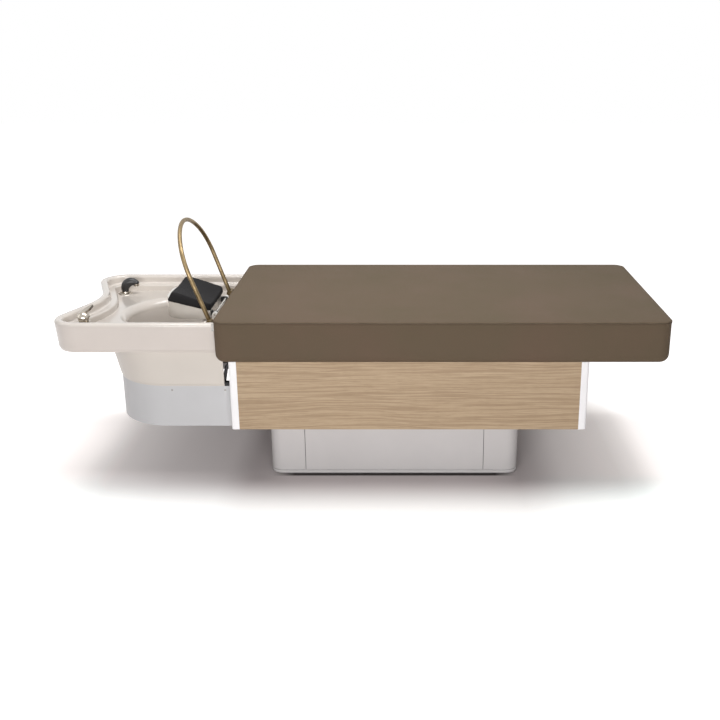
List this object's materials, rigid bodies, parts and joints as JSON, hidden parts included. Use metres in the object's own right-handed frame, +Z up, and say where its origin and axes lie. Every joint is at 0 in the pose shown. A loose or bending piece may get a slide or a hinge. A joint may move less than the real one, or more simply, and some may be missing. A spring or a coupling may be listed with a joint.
{
  "type": "hair washing bed",
  "caption": "Padded couch on a lifting plinth, with a white washing basin at the head end that carries a tilting headrest, a tilting water ring, a lever tap and a lift-out hand shower.",
  "frame": {"origin": "on the floor, under the middle of the whole object's box, with the lift at its lowest", "axes": "+X runs from the basin to the foot of the bed, +Y goes to the rear side, away from the picture's camera, +Z is up"},
  "size_m": [2.146, 0.85, 0.8929],
  "materials": {
    "upholstery": "taupe leatherette, fine grain, satin",
    "headrest_pad": "black soft polyurethane, satin",
    "basin_acrylic": "white cast acrylic, glossy",
    "shell_plastic": "white, satin",
    "cover_plastic": "cool light grey, satin",
    "oak": "light oak veneer, long horizontal grain, matt",
    "white_board": "white painted board, matt",
    "plywood": "birch plywood, raw",
    "frame_steel": "black powder coat",
    "plinth_steel": "light grey powder coat",
    "column_aluminium": "anodised",
    "glide_plastic": "natural nylon",
    "actuator_metal": "dark grey enamel",
    "bright_steel": "bright, smooth",
    "ring_brass": "brushed gold",
    "chrome": "polished",
    "handle_black": "black, satin",
    "hinge_white": "white moulded",
    "carrier_satin": "pale silver, satin",
    "arm_black": "black enamel",
    "rubber_black": "black rubber",
    "hose_grey": "dark grey hose",
    "waste_plastic": "white moulded",
    "valve_brass": "plain cast",
    "box_plastic": "black, fine texture"
  },
  "bodies": {
    "base": {"base_plate": "plinth_steel", "levelling_feet": "rubber_black", "plinth_head_cover": "plinth_steel", "plinth_foot_cover": "plinth_steel", "plinth_front_panel": "plinth_steel", "plinth_rear_panel": "plinth_steel", "plinth_posts": "frame_steel", "head_column_outer": "column_aluminium", "foot_column_outer": "column_aluminium", "column_glides": "glide_plastic", "lift_actuators": "actuator_metal", "control_box": "box_plastic", "cable_gland": "box_plastic"},
    "bed": {"mattress": "upholstery", "mattress_board": "plywood", "front_wood_panel": "oak", "rear_wood_panel": "oak", "head_end_panel": "white_board", "foot_end_panel": "white_board", "front_rail": "frame_steel", "rear_rail": "frame_steel", "cross_members": "frame_steel", "panel_brackets": "frame_steel", "end_brackets": "frame_steel", "head_column_inner": "column_aluminium", "foot_column_inner": "column_aluminium", "actuator_rods": "bright_steel", "basin": "basin_acrylic", "bowl": "basin_acrylic", "bowl_shell": "shell_plastic", "lower_cover": "cover_plastic", "cover_screws": "bright_steel", "cover_brackets": "frame_steel", "rubber_buffers": "rubber_black", "support_posts": "frame_steel", "basin_clips": "bright_steel", "drain_flange": "chrome", "bottle_trap": "waste_plastic", "waste_pipe": "waste_plastic", "supply_valve": "valve_brass", "supply_hose": "hose_grey", "water_manifold": "valve_brass", "ring_pivots": "ring_brass", "ring_pivot_caps": "ring_brass", "hinge_blocks": "hinge_white", "mixer_body": "chrome", "tap_back_nuts": "valve_brass", "shower_rosette": "chrome"},
    "water_ring": {"water_ring": "ring_brass"},
    "headrest": {"headrest_pad": "headrest_pad", "headrest_carrier": "carrier_satin", "headrest_arms": "arm_black", "hinge_rod": "carrier_satin"},
    "mixer_swivel": {"mixer_ball": "chrome"},
    "mixer_lever": {"mixer_lever": "chrome"},
    "shower_collar": {"shower_collar": "chrome"},
    "hand_shower": {"shower_handle": "handle_black", "shower_shank": "chrome", "shower_nozzle": "chrome"},
    "strainer": {"hair_strainer": "chrome"}
  },
  "joints": [
    {"name": "bed_lift", "type": "slide", "parent": "base", "child": "bed", "axis": [0, 0, 1], "range_m": [0, 0.18]},
    {"name": "ring_pivot", "type": "hinge", "parent": "bed", "child": "water_ring", "pos_m": [-0.541, 0, 0.555], "axis": [0, -1, 0], "range_deg": [-20, 50]},
    {"name": "headrest_tilt", "type": "hinge", "parent": "bed", "child": "headrest", "pos_m": [-0.54, 0, 0.559], "axis": [0, 1, 0], "range_deg": [0, 30]},
    {"name": "mixer_swivel", "type": "hinge", "parent": "bed", "child": "mixer_swivel", "pos_m": [-0.977, -0.265, 0.575], "axis": [0, 0, 1], "range_deg": [-45, 45]},
    {"name": "mixer_lift", "type": "hinge", "parent": "mixer_swivel", "child": "mixer_lever", "pos_m": [-0.977, -0.265, 0.587], "axis": [0.7071, -0.7071, 0], "range_deg": [0, 22]},
    {"name": "collar_turn", "type": "hinge", "parent": "bed", "child": "shower_collar", "pos_m": [-0.977, 0.265, 0.537], "axis": [0, 0, 1], "range_deg": [-90, 90]},
    {"name": "shower_lift", "type": "slide", "parent": "shower_collar", "child": "hand_shower", "axis": [0, 0, 1], "range_m": [0, 0.04]},
    {"name": "strainer_lift", "type": "slide", "parent": "bed", "child": "strainer", "axis": [0, 0, 1], "range_m": [0, 0.05]}
  ]
}
